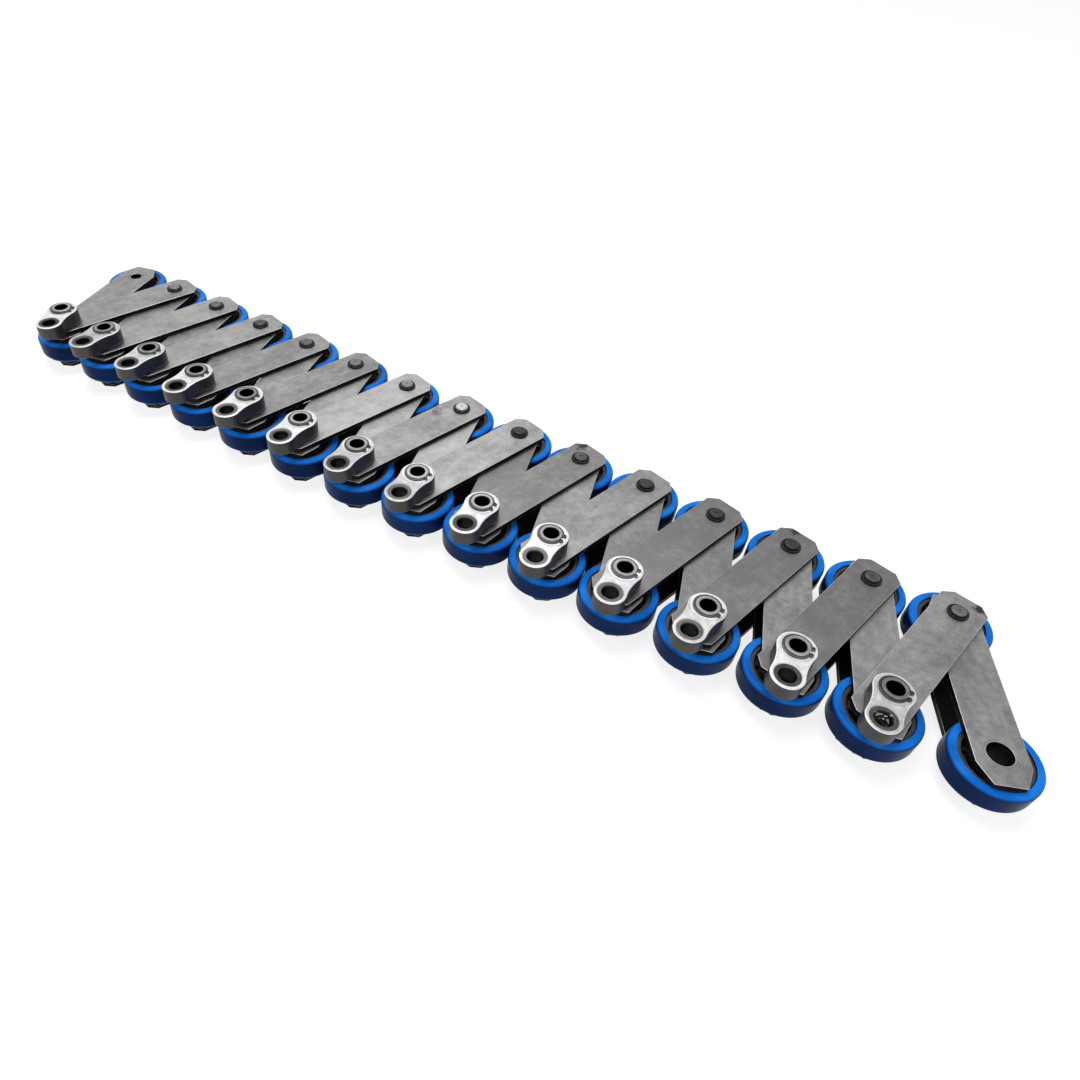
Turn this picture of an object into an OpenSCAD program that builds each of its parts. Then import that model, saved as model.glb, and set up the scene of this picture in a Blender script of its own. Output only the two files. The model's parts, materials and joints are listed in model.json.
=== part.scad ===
// Pallet chain of a moving walk, lying on its side and folded into a tight zigzag.
// The pin axes stand upright, +X runs along the folded rows and +Y points to the back row.
// The origin is under the middle of the whole length, on the surface that it lies on.

/* [Chain] */
// Number of inner links, with one outer link fewer between them
inner_count = 15; // [4:1:15]
// Distance between the two pins of a link
pitch = 133.33; // [120:0.01:160]
// Gap between neighbouring tyres in the folded rows
tyre_gap = 0.8; // [0.6:0.1:3]
// Joints near the loose end that lie a little more open
near_joints = 8; // [2:1:8]
// How much more open the back joints lie there, in degrees
back_open = 1.25; // [0:0.05:3]
// How much more open the front joints lie there, in degrees
front_open = 0.5; // [0:0.05:3]
// How much more open the last joint lies, in degrees
last_open = 6.2; // [0:0.1:15]

/* [Plates] */
// Width of every link plate
plate_w = 41; // [34:0.5:46]
// Thickness of every link plate
plate_t = 5; // [3:0.5:6]
// Width of the flat at all plate ends
end_flat = 24; // [16:0.5:30]
// End of an inner plate beyond its back pin
inner_back_reach = 24; // [20:0.5:28]
// End of an inner plate beyond its front pin
inner_front_reach = 27; // [22:0.5:30]
// Length of the cut corners of the inner plates
inner_chamfer = 17.5; // [6:0.5:20]
// End of an outer plate beyond either pin
outer_reach = 23; // [20:0.5:28]
// Length of the cut corners of the outer plates
outer_chamfer = 8; // [4:0.5:14]
// Gap between an inner and an outer plate
link_gap = 0.3; // [0.2:0.1:1]

/* [Rollers] */
// Tyre diameter
roller_d = 70; // [66:0.5:76]
// Tyre width
roller_w = 20.5; // [16:0.5:26]
// Gap between a tyre and the inner plate beside it
side_gap = 0.5; // [0.3:0.1:2]
// Thickness of the tyre, from tread to hub
tyre_t = 7.2; // [6:0.1:10]
// Radius of the round tyre shoulders
shoulder_r = 3.5; // [1:0.5:4]
// How far the hub stands back from the tyre's sides
hub_setback = 1.4; // [0.5:0.1:3]
// Width of the hub's outer rim
hub_rim = 3.4; // [1:0.1:4]
// Width of the hub's boss round the bearing
hub_boss = 2.5; // [1.5:0.5:3]
// Thickness of the web that joins rim and boss
hub_web = 8; // [4:0.5:12]
// Number of ribs on each side of the web
rib_count = 8; // [4:1:12]
// Thickness of a rib
rib_t = 1.8; // [1:0.1:3]
// Outside diameter of the bearing
bearing_d = 35; // [32:0.5:38]
// Width of the bearing
bearing_w = 12; // [8:0.5:14]
// Depth to which the bearing's seals stand back
seal_setback = 0.8; // [0.2:0.1:1.5]
// Width of each bearing ring beside its seal
ring_wall = 1.8; // [1:0.1:2]

/* [Pins and bushes] */
// Diameter of the back pins
back_pin_d = 12.7; // [10:0.1:14]
// Wall of the back bushes
back_bush_wall = 2.5; // [1:0.1:3]
// Outside diameter of the hollow front pins
front_pin_d = 20; // [18:0.1:21]
// Bore of the hollow front pins
front_pin_bore = 14; // [10:0.1:15]
// Wall of the front bushes
front_bush_wall = 1.5; // [1:0.1:2.5]
// Radial clearance of everything that turns
run_gap = 0.05; // [0.02:0.01:0.1]
// Radial gap at pressed seats, and under seated faces
seat_gap = 0.01; // [0.005:0.005:0.02]
// Thickness of the pin heads under the chain
head_t = 3; // [2:0.5:5]
// How far the heads stand out round their pins
head_rim = 3; // [1.5:0.5:4]
// How far a back pin stands above the upper plate
pin_stand = 4.2; // [3.5:0.1:7]
// Chamfer of the pin ends
pin_chamfer = 1.2; // [0.4:0.1:2]
// Width of the retaining ring round a back pin
keeper_rim = 3.4; // [2:0.1:5]
// Thickness of the retaining ring
keeper_t = 2; // [1:0.1:3]

/* [Brackets] */
// Height of a bracket
bracket_h = 16.5; // [12:0.5:30]
// Distance between the two holes of a bracket
hole_pitch = 30; // [29:0.5:40]
// Radius of the lobe round the hollow pin
pin_lobe_r = 16; // [15:0.5:18]
// Radius of the lobe round the sleeve
sleeve_lobe_r = 13.8; // [13:0.1:18]
// How far the sleeve's lobe hangs clear of the upper plate
lobe_lift = 2.5; // [0.5:0.5:6]
// Radius of the hollow flanks between the lobes
flank_r = 45; // [20:1:80]
// Diameter of the washer between bracket and circlip
washer_d = 28; // [26:0.5:30]
// Thickness of that washer
washer_t = 0.5; // [0.3:0.1:2]
// How far a hollow pin stands above its circlip
pin_land = 0.8; // [0.6:0.1:2]
// Thickness of the circlip
clip_t = 1.2; // [0.8:0.1:1.8]
// Width of the circlip's band outside its groove
clip_band = 2.2; // [1:0.1:3]
// Depth of the circlip's groove
groove_depth = 0.5; // [0.3:0.1:0.8]
// Opening of the circlip, in degrees
clip_opening = 34; // [20:1:60]
// Radius of the eyes at the circlip's ends
clip_eye_r = 1.8; // [1.2:0.1:1.8]
// Radius of the holes in the eyes
clip_hole_r = 0.9; // [0.4:0.1:1]
// Outside diameter of the sleeve
sleeve_d = 21; // [18:0.1:22]
// Bore of the sleeve
sleeve_bore = 13.8; // [8:0.1:14]
// How far the sleeve stands back under the bracket's top
sleeve_setback = 0.5; // [0.3:0.1:4]
// Chamfer of the bracket's hole round the sleeve
hole_chamfer = 0.8; // [0.3:0.1:1.5]
// How far a bracket usually leans to the loose end, in degrees
usual_swing = 18; // [0:1:40]

/* [Hidden] */
$fn = 96;
eps = 0.05;
// Steps in which a quarter turn of a profile is drawn
quarter_steps = 6;

// Places in the stack, from the surface upwards
outer_low_z = head_t;
inner_low_z = outer_low_z + plate_t + link_gap;
clear_w = roller_w + 2 * side_gap;
inner_high_z = inner_low_z + plate_t + clear_w;
outer_high_z = inner_high_z + plate_t + link_gap;
stack_top_z = outer_high_z + plate_t;
roller_z = inner_low_z + plate_t + clear_w / 2;
bracket_z = stack_top_z + seat_gap;
washer_z = bracket_z + bracket_h + seat_gap;
clip_z = washer_z + washer_t + seat_gap;
bush_h = inner_high_z + plate_t - inner_low_z;

// Round fits
roller_r = roller_d / 2;
tyre_bore_r = roller_r - tyre_t;
back_pin_r = back_pin_d / 2;
front_pin_r = front_pin_d / 2;
back_bush_r = back_pin_r + run_gap + back_bush_wall;
front_bush_r = front_pin_r + run_gap + front_bush_wall;
groove_r = front_pin_r - groove_depth;

// The lay: each joint is folded until neighbouring tyres nearly touch
link_count = 2 * inner_count - 1;
joint_count = link_count - 1;
packed_fold = 2 * asin((roller_d + tyre_gap) / (2 * pitch));
function row_open(k) = k % 2 == 0 ? back_open : front_open;
fold = [
    for (k = [1 : joint_count])
        packed_fold + (k == joint_count ? last_open : k > joint_count - near_joints ? row_open(k) : 0)
];
heading = [
    for (k = 0, h = packed_fold / 2 - 90; k < link_count;
         h = k < joint_count ? h + (k % 2 == 0 ? 180 - fold[k] : fold[k] - 180) : h, k = k + 1) h
];
laid_pin = [
    for (k = 0, p = [0, 0]; k <= link_count;
         p = k < link_count ? p + pitch * [cos(heading[k]), sin(heading[k])] : p, k = k + 1) p
];

// The brackets turn freely on their pins: these few don't lie at the usual swing
odd_swing = [[1, 41], [12, 9], [14, 12]];
function swing(i) = let (own = search(i, odd_swing)) len(own) > 0 ? odd_swing[own[0]][1] : usual_swing;
function bracket_heading(i) = heading[2 * i - 1] + 180 + swing(i);
laid_sleeve = [
    for (i = [1 : inner_count - 1])
        laid_pin[2 * i - 1] + hole_pitch * [cos(bracket_heading(i)), sin(bracket_heading(i))]
];

// The middle of the whole lay becomes the origin
low_x = min([for (p = laid_pin) p.x]) - roller_r;
high_x = max([for (p = laid_pin) p.x]) + roller_r;
low_y = min(concat([for (p = laid_pin) p.y - roller_r], [for (s = laid_sleeve) s.y - sleeve_lobe_r]));
high_y = max([for (p = laid_pin) p.y]) + roller_r;
middle = [(low_x + high_x) / 2, (low_y + high_y) / 2];
pin_at = [for (p = laid_pin) p - middle];

function two_digits(i) = str(i < 10 ? "0" : "", i);
function inner_name(i) = str("inner_link_", two_digits(i));
function outer_name(i) = str("outer_link_", two_digits(i));
function back_roller_name(i) = str("roller_back_", two_digits(i));
function front_roller_name(i) = str("roller_front_", two_digits(i));

// Points of an arc about c from angle a0 to a1
function arc(c, r, a0, a1, steps) =
    [for (k = [0 : steps]) let (a = a0 + (a1 - a0) * k / steps) c + r * [cos(a), sin(a)]];

// Flat bar with cut corners: the back pin at the origin, the front pin one pitch along +X
module link_plate(back_reach, front_reach, chamfer, back_hole_r, front_hole_r) {
    color("darkgray")
    difference() {
        linear_extrude(plate_t)
        polygon([
            [-back_reach, -end_flat / 2],
            [chamfer - back_reach, -plate_w / 2],
            [pitch + front_reach - chamfer, -plate_w / 2],
            [pitch + front_reach, -end_flat / 2],
            [pitch + front_reach, end_flat / 2],
            [pitch + front_reach - chamfer, plate_w / 2],
            [chamfer - back_reach, plate_w / 2],
            [-back_reach, end_flat / 2]
        ]);
        translate([0, 0, -eps])
        cylinder(r = back_hole_r, h = plate_t + 2 * eps);
        translate([pitch, 0, -eps])
        cylinder(r = front_hole_r, h = plate_t + 2 * eps);
    }
}

// Bush between the two inner plates, flush with their outer faces
module bush(outer_r, bore_r) {
    color("gray")
    translate([0, 0, inner_low_z])
    difference() {
        cylinder(r = outer_r, h = bush_h);
        translate([0, 0, -eps])
        cylinder(r = bore_r, h = bush_h + 2 * eps);
    }
}

// Solid pin with a head under the chain and a chamfered end above it
module back_pin() {
    top_z = stack_top_z + pin_stand;
    color("dimgray")
    rotate_extrude()
    polygon([
        [0, 0],
        [back_pin_r + head_rim, 0],
        [back_pin_r + head_rim, head_t - seat_gap],
        [back_pin_r, head_t - seat_gap],
        [back_pin_r, top_z - pin_chamfer],
        [back_pin_r - pin_chamfer, top_z],
        [0, top_z]
    ]);
}

// Retaining ring on the upper end of a back pin, sunk round the pin
module keeper() {
    inner_r = back_pin_r + seat_gap;
    outer_r = back_pin_r + keeper_rim;
    sunk_r = back_pin_r + keeper_rim / 2;
    edge = keeper_t / 4;
    color("dimgray")
    translate([0, 0, stack_top_z + seat_gap])
    rotate_extrude()
    polygon([
        [inner_r, 0],
        [outer_r, 0],
        [outer_r, keeper_t - edge],
        [outer_r - edge, keeper_t],
        [sunk_r, keeper_t],
        [sunk_r, keeper_t - edge],
        [inner_r, keeper_t - edge]
    ]);
}

// Flanged hollow pin that stands through the bracket, with a groove near its upper end
module hollow_pin() {
    bore_r = front_pin_bore / 2;
    groove_top_z = clip_z + clip_t + seat_gap;
    top_z = groove_top_z + pin_land;
    edge = pin_land / 2;
    color("dimgray")
    rotate_extrude()
    polygon([
        [bore_r, 0],
        [front_pin_r + head_rim, 0],
        [front_pin_r + head_rim, head_t - seat_gap],
        [front_pin_r, head_t - seat_gap],
        [front_pin_r, clip_z - seat_gap],
        [groove_r, clip_z - seat_gap],
        [groove_r, groove_top_z],
        [front_pin_r, groove_top_z],
        [front_pin_r, top_z - edge],
        [front_pin_r - edge, top_z],
        [bore_r + edge, top_z],
        [bore_r, top_z - edge]
    ]);
}

// Figure-eight block: a lobe that stands on the upper plate, a lobe that hangs clear of it,
// and a web between them whose hollow flanks run smoothly into both
module bracket() {
    hung_h = bracket_h - lobe_lift;
    pin_reach = pin_lobe_r + flank_r;
    sleeve_reach = sleeve_lobe_r + flank_r;
    flank_x = (pow(hole_pitch, 2) + pow(pin_reach, 2) - pow(sleeve_reach, 2)) / (2 * hole_pitch);
    flank_y = sqrt(pow(pin_reach, 2) - pow(flank_x, 2));
    web_from = flank_x * pin_lobe_r / pin_reach;
    web_to = hole_pitch + (flank_x - hole_pitch) * sleeve_lobe_r / sleeve_reach;
    sleeve_hole_r = sleeve_d / 2 + seat_gap;
    color("whitesmoke")
    translate([0, 0, bracket_z])
    difference() {
        union() {
            cylinder(r = pin_lobe_r, h = bracket_h);
            translate([hole_pitch, 0, lobe_lift])
            cylinder(r = sleeve_lobe_r, h = hung_h);
            difference() {
                translate([web_from, -pin_lobe_r, lobe_lift])
                cube([web_to - web_from, 2 * pin_lobe_r, hung_h]);
                for (side = [-1, 1])
                    translate([flank_x, side * flank_y, 0])
                    cylinder(r = flank_r + seat_gap, h = bracket_h + eps);
            }
        }
        translate([0, 0, -eps])
        cylinder(r = front_pin_r + seat_gap, h = bracket_h + 2 * eps);
        translate([hole_pitch, 0, -eps])
        cylinder(r = sleeve_hole_r, h = bracket_h + 2 * eps);
        translate([hole_pitch, 0, bracket_h - hole_chamfer])
        cylinder(r1 = sleeve_hole_r, r2 = sleeve_hole_r + hole_chamfer + eps, h = hole_chamfer + eps);
    }
}

// Washer on the bracket, under the circlip
module washer() {
    color("white")
    translate([0, 0, washer_z])
    difference() {
        cylinder(r = washer_d / 2, h = washer_t);
        translate([0, 0, -eps])
        cylinder(r = front_pin_r + run_gap, h = washer_t + 2 * eps);
    }
}

// Open spring ring with an eye at each end, in the hollow pin's groove
module circlip() {
    inner_r = groove_r + seat_gap;
    band_r = front_pin_r + clip_band;
    eye_r = front_pin_r + clip_eye_r + eps;
    color("dimgray")
    translate([0, 0, clip_z])
    rotate(90)
    difference() {
        union() {
            rotate(clip_opening / 2)
            rotate_extrude(angle = 360 - clip_opening)
            translate([inner_r, 0])
            square([band_r - inner_r, clip_t]);
            for (side = [-1, 1])
                rotate(side * clip_opening / 2)
                translate([eye_r, 0, 0])
                cylinder(r = clip_eye_r, h = clip_t);
        }
        for (side = [-1, 1])
            rotate(side * clip_opening / 2)
            translate([eye_r, 0, -eps])
            cylinder(r = clip_hole_r, h = clip_t + 2 * eps);
    }
}

// Sleeve in the free hole of a bracket, its mouth countersunk
module sleeve() {
    sleeve_h = bracket_h - lobe_lift - sleeve_setback;
    bore_r = sleeve_bore / 2;
    mouth = (sleeve_d / 2 - bore_r) / 4;
    color("gray")
    translate([hole_pitch, 0, bracket_z + lobe_lift])
    rotate_extrude()
    polygon([
        [bore_r, 0],
        [sleeve_d / 2, 0],
        [sleeve_d / 2, sleeve_h],
        [bore_r + mouth, sleeve_h],
        [bore_r, sleeve_h - mouth]
    ]);
}

// Round-shouldered tyre, about its own middle
module tyre() {
    half_w = roller_w / 2;
    inner_edge = shoulder_r / 4;
    bore_r = tyre_bore_r;
    shoulder_at = [roller_r - shoulder_r, half_w - shoulder_r];
    color("royalblue")
    rotate_extrude()
    polygon(concat(
        [[bore_r, inner_edge - half_w], [bore_r + inner_edge, -half_w]],
        arc([shoulder_at.x, -shoulder_at.y], shoulder_r, -90, 0, quarter_steps),
        arc(shoulder_at, shoulder_r, 0, 90, quarter_steps),
        [[bore_r + inner_edge, half_w], [bore_r, half_w - inner_edge]]
    ));
}

// Moulded hub: rim and boss joined by a web with ribs on both sides
module hub() {
    outer_r = tyre_bore_r - seat_gap;
    bore_r = bearing_d / 2 + seat_gap;
    half_w = roller_w / 2 - hub_setback;
    color([0.07, 0.07, 0.08]) {
        rotate_extrude()
        polygon([
            [bore_r, -half_w],
            [bore_r + hub_boss, -half_w],
            [bore_r + hub_boss, -hub_web / 2],
            [outer_r - hub_rim, -hub_web / 2],
            [outer_r - hub_rim, -half_w],
            [outer_r, -half_w],
            [outer_r, half_w],
            [outer_r - hub_rim, half_w],
            [outer_r - hub_rim, hub_web / 2],
            [bore_r + hub_boss, hub_web / 2],
            [bore_r + hub_boss, half_w],
            [bore_r, half_w]
        ]);
        rib_from = bore_r + hub_boss / 2;
        rib_len = outer_r - hub_rim / 2 - rib_from;
        rib_h = 2 * half_w - hub_boss / 2;
        for (k = [0 : rib_count - 1])
            rotate(360 * k / rib_count)
            translate([rib_from, -rib_t / 2, -rib_h / 2])
            cube([rib_len, rib_t, rib_h]);
    }
}

// Sealed bearing that runs on a bush: two rings with seals that stand back
module bearing(bush_r) {
    bore_r = bush_r + run_gap;
    outer_r = bearing_d / 2;
    half_w = bearing_w / 2;
    seal_w = half_w - seal_setback;
    color("silver")
    rotate_extrude()
    polygon([
        [bore_r, -half_w],
        [bore_r + ring_wall, -half_w],
        [bore_r + ring_wall, -seal_w],
        [outer_r - ring_wall, -seal_w],
        [outer_r - ring_wall, -half_w],
        [outer_r, -half_w],
        [outer_r, half_w],
        [outer_r - ring_wall, half_w],
        [outer_r - ring_wall, seal_w],
        [bore_r + ring_wall, seal_w],
        [bore_r + ring_wall, half_w],
        [bore_r, half_w]
    ]);
}

// Inner link: two plates pressed on the bushes of a back and a front pin
module inner_link(i) {
    k = 2 * i - 2;
    translate(pin_at[k])
    rotate(heading[k]) {
        for (z = [inner_low_z, inner_high_z])
            translate([0, 0, z])
            link_plate(
                inner_back_reach, inner_front_reach, inner_chamfer,
                back_bush_r + seat_gap, front_bush_r + seat_gap
            );
        bush(back_bush_r, back_pin_r + run_gap);
        translate([pitch, 0, 0])
        bush(front_bush_r, front_pin_r + run_gap);
    }
}

// Outer link: two plates on a hollow front pin and a solid back pin, with what the pins carry
module outer_link(i) {
    k = 2 * i - 1;
    translate(pin_at[k + 1])
    rotate(heading[k] + 180) {
        for (z = [outer_low_z, outer_high_z])
            translate([0, 0, z])
            link_plate(
                outer_reach, outer_reach, outer_chamfer,
                back_pin_r + seat_gap, front_pin_r + seat_gap
            );
        back_pin();
        keeper();
    }
    translate(pin_at[k])
    rotate(bracket_heading(i)) {
        hollow_pin();
        bracket();
        washer();
        circlip();
        sleeve();
    }
}

// Roller on the bush of the given pin
module roller(k, bush_r) {
    translate([pin_at[k].x, pin_at[k].y, roller_z])
    rotate(heading[min(k, link_count - 1)]) {
        tyre();
        hub();
        bearing(bush_r);
    }
}

for (i = [1 : inner_count])
    inner_link(i);
for (i = [1 : inner_count - 1])
    outer_link(i);
for (i = [1 : inner_count])
    roller(2 * i - 2, back_bush_r);
for (i = [1 : inner_count])
    roller(2 * i - 1, front_bush_r);
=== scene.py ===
"""Looks of a pallet chain of a moving walk, lying on its side and folded into a tight zigzag.

Sizes are in millimetres and named angles in degrees. Every piece is worked out as arrays about its own pin,
with its height already true, then turned and set down where the frame's joints and mounts say its pin is.
"""
import json
import math

import bpy
import numpy as np
from mathutils import Matrix, Vector


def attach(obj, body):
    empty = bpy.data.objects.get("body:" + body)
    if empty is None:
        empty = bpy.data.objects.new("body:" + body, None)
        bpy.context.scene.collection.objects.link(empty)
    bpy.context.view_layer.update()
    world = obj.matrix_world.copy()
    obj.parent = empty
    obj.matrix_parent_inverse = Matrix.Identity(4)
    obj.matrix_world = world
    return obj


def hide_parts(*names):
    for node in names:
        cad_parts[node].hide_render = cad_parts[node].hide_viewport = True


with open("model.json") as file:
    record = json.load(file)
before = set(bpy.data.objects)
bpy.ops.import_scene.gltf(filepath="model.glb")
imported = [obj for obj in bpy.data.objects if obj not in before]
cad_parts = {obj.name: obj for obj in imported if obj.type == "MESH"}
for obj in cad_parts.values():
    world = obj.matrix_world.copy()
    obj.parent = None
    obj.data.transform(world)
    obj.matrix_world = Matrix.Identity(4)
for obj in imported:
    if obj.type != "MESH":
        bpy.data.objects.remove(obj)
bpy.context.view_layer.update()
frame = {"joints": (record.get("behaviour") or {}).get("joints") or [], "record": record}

MM = 0.001
INNER_COUNT = 15

# Link plates
PITCH = 133.33
PLATE_W = 41.0
PLATE_T = 5.0
END_FLAT = 24.0
INNER_REACHES = (24.0, 27.0)
INNER_CHAMFER = 17.5
OUTER_REACHES = (23.0, 23.0)
OUTER_CHAMFER = 8.0
PLATE_CORNER = 1.0
PLATE_EDGE = 0.5
LINK_GAP = 0.3

# Rollers
ROLLER_R = 35.0
ROLLER_W = 20.5
SIDE_GAP = 0.5
TYRE_T = 7.2
SHOULDER_R = 3.5
TYRE_LIP = 0.9
HUB_SETBACK = 1.4
HUB_RIM = 3.4
HUB_BOSS = 2.5
HUB_WEB = 8.0
HUB_EDGE = 0.45
RIB_COUNT = 8
RIB_T = 1.8
RIB_DRAFT = 0.25
BEARING_R = 17.5
BEARING_W = 12.0
RING_WALL = 1.8
RING_EDGE = 0.4
SEAL_SETBACK = 0.8
SEAL_BEAD = 0.25

# Pins and bushes
BACK_PIN_R = 6.35
BACK_BUSH_WALL = 2.5
FRONT_PIN_R = 10.0
FRONT_PIN_BORE_R = 7.0
FRONT_BUSH_WALL = 1.5
RUN_GAP = 0.05
SEAT_GAP = 0.01
HEAD_T = 3.0
HEAD_RIM = 3.0
PIN_STAND = 4.2
PIN_CHAMFER = 1.2
DIMPLE_R = 1.1
DIMPLE_DEPTH = 0.9
KEEPER_RIM = 2.6
KEEPER_T = 2.0
TURNED_EDGE = 0.25

# Brackets
BRACKET_H = 16.5
HOLE_PITCH = 30.0
PIN_LOBE_R = 16.0
SLEEVE_LOBE_R = 13.8
LOBE_LIFT = 2.5
FLANK_R = 45.0
BRACKET_EDGE = 1.1
HOLE_CHAMFER = 0.8
WASHER_R = 14.0
WASHER_T = 0.5
CLIP_T = 1.2
CLIP_BAND = 2.2
CLIP_BAND_END = 1.43
GROOVE_DEPTH = 0.5
PIN_LAND = 0.8
CLIP_OPENING = 34.0
CLIP_EYE_R = 1.8
CLIP_HOLE_R = 0.9
SLEEVE_R = 10.5
SLEEVE_BORE_R = 6.9
SLEEVE_SETBACK = 0.5

# Heights in the stack, from the floor upwards
OUTER_LOW_Z = HEAD_T
INNER_LOW_Z = OUTER_LOW_Z + PLATE_T + LINK_GAP
CLEAR_W = ROLLER_W + 2 * SIDE_GAP
INNER_HIGH_Z = INNER_LOW_Z + PLATE_T + CLEAR_W
OUTER_HIGH_Z = INNER_HIGH_Z + PLATE_T + LINK_GAP
STACK_TOP_Z = OUTER_HIGH_Z + PLATE_T
ROLLER_Z = INNER_LOW_Z + PLATE_T + CLEAR_W / 2
BRACKET_Z = STACK_TOP_Z + SEAT_GAP
BRACKET_TOP_Z = BRACKET_Z + BRACKET_H
HUNG_Z = BRACKET_Z + LOBE_LIFT
WASHER_Z = BRACKET_TOP_Z + SEAT_GAP
CLIP_Z = WASHER_Z + WASHER_T + SEAT_GAP
HOLLOW_TOP_Z = CLIP_Z + CLIP_T + SEAT_GAP + PIN_LAND

# Round fits
BACK_BUSH_R = BACK_PIN_R + RUN_GAP + BACK_BUSH_WALL
FRONT_BUSH_R = FRONT_PIN_R + RUN_GAP + FRONT_BUSH_WALL
TYRE_BORE_R = ROLLER_R - TYRE_T
GROOVE_R = FRONT_PIN_R - GROOVE_DEPTH

# Fineness of the meshes
TURN_STEPS = 72
ARC_STEPS = 2
SHOULDER_STEPS = 6
BRACKET_ARC_STEPS = 4
EYE_STEPS = 9
CLIP_EYE_STEPS = 24
BRACKET_LINE_COLUMNS = 4
RIB_GAP_COLUMNS = 3
OUTLINE_STEP = 3.0
WELD_DIGITS = 4
SMOOTH_ANGLE = 35.0

UP = np.array([0, 0, 1.0])
rng = np.random.default_rng(20)


# Shapes

def unit(vectors):
    """Each vector divided by its own length."""
    return vectors / np.linalg.norm(vectors, axis=-1, keepdims=True)


def to_right(along):
    """Each plane vector turned a quarter turn clockwise."""
    return np.stack([along[..., 1], -along[..., 0]], axis=-1)


def in_space(plane):
    """Plane vectors as vectors in space, at height 0."""
    return np.concatenate([plane, np.zeros(plane.shape[:-1] + (1,))], axis=-1)


def carried(ways, section):
    """A section, or its normals, set upright along each way: way * first number + up * second number."""
    return ways[:, None] * section[..., :1] + UP * section[..., 1:]


def rounded(corners, radii, steps=ARC_STEPS):
    """A closed line through the corners, each turned into an arc of its radius.

    The arc begins radius * tan(half the turn) before its corner. Its normal swings evenly from the normal of
    the side before to that of the side after, and its points lie one radius along that normal from the arc's
    middle. Returns points, normals to the right of the way round, and how near each is to the middle of its
    arc, from 0 to 1, as arrays of corner by step.
    """
    corners = np.asarray(corners, float)
    radii = np.broadcast_to(np.asarray(radii, float), len(corners))
    after = unit(np.roll(corners, -1, axis=0) - corners)
    before = np.roll(after, 1, axis=0)
    cross = before[:, 0] * after[:, 1] - before[:, 1] * after[:, 0]
    turn = np.arctan2(cross, (before * after).sum(axis=1))
    bow = (np.sign(turn) * radii)[:, None]
    start = corners - before * (radii * np.tan(abs(turn) / 2))[:, None]
    middle = start - to_right(before) * bow
    share = np.linspace(0, 1, steps + 1)
    first = to_right(before)
    angle = np.arctan2(first[:, 1], first[:, 0])[:, None] + turn[:, None] * share
    normals = np.stack([np.cos(angle), np.sin(angle)], axis=-1)
    points = middle[:, None] + normals * bow[:, None]
    edge = np.broadcast_to(1 - abs(2 * share - 1), angle.shape)
    return points, normals, edge


def grid_quads(columns, rows, wrap=True):
    """Quads of a grid whose columns close round, and whose rows close round too if wrap is true."""
    column = np.arange(columns)[:, None]
    row = np.arange(rows if wrap else rows - 1)[None, :]
    beside, above = (column + 1) % columns, (row + 1) % rows
    corners = [column * rows + row, beside * rows + row, beside * rows + above, column * rows + above]
    return np.stack(corners, axis=-1).reshape(-1, 4)


def surface(points, normals, edge, hollow, quads, caps=()):
    """One shell of a piece: points by column and row with their values, and the faces between them.

    edge is how near a point is to the middle of a rounded edge, and hollow how much it faces into a bore.
    Each cap lists the points round a flat end.
    """
    grid = points.shape[:2]
    return {
        "points": points.reshape(-1, 3),
        "normals": np.broadcast_to(normals, points.shape).reshape(-1, 3),
        "edge": np.broadcast_to(edge, grid).ravel(),
        "hollow": np.broadcast_to(hollow, grid).ravel(),
        "quads": quads,
        "caps": caps,
    }


def turned(corners, radii, steps=TURN_STEPS, axis=(0, 0), solid=False, arc_steps=ARC_STEPS):
    """A turned piece: the rounded section, in radius and height, carried round an upright axis.

    point(angle, s) = axis + (radius(s) cos angle, radius(s) sin angle, height(s)). The section runs
    anticlockwise. On a solid piece its first and last corner lie on the axis, and flat discs close the ends.
    """
    section, facing, edge = rounded(corners, radii, arc_steps)
    if solid:
        section, facing, edge = section[1:-1], facing[1:-1], edge[1:-1]
    section, facing, edge = section.reshape(-1, 2), facing.reshape(-1, 2), edge.ravel()
    angle = np.linspace(0, 2 * np.pi, steps, endpoint=False)
    rays = np.stack([np.cos(angle), np.sin(angle), 0 * angle], axis=1)
    points = carried(rays, section) + np.array([*axis, 0.0])
    rows = len(section)
    start = np.arange(steps) * rows
    caps = [start[::-1], start + rows - 1] if solid else []
    hollow = np.clip(-facing[:, 0], 0, 1)
    quads = grid_quads(steps, rows, wrap=not solid)
    return surface(points, carried(rays, facing), edge, hollow, quads, caps)


def along_line(points, normals, step=OUTLINE_STEP):
    """The line with more points, no further apart than the step, and its normals carried along."""
    length = np.concatenate([[0], np.cumsum(np.linalg.norm(np.diff(points, axis=0), axis=1))])
    count = int(length[-1] / step) + 1
    at = np.union1d(length, np.linspace(0, length[-1], count))
    at = at[np.concatenate([[True], np.diff(at) > step / 10])]
    pick = lambda values: np.stack([np.interp(at, length, v) for v in values.T], axis=1)
    return pick(points), unit(pick(normals))


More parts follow.
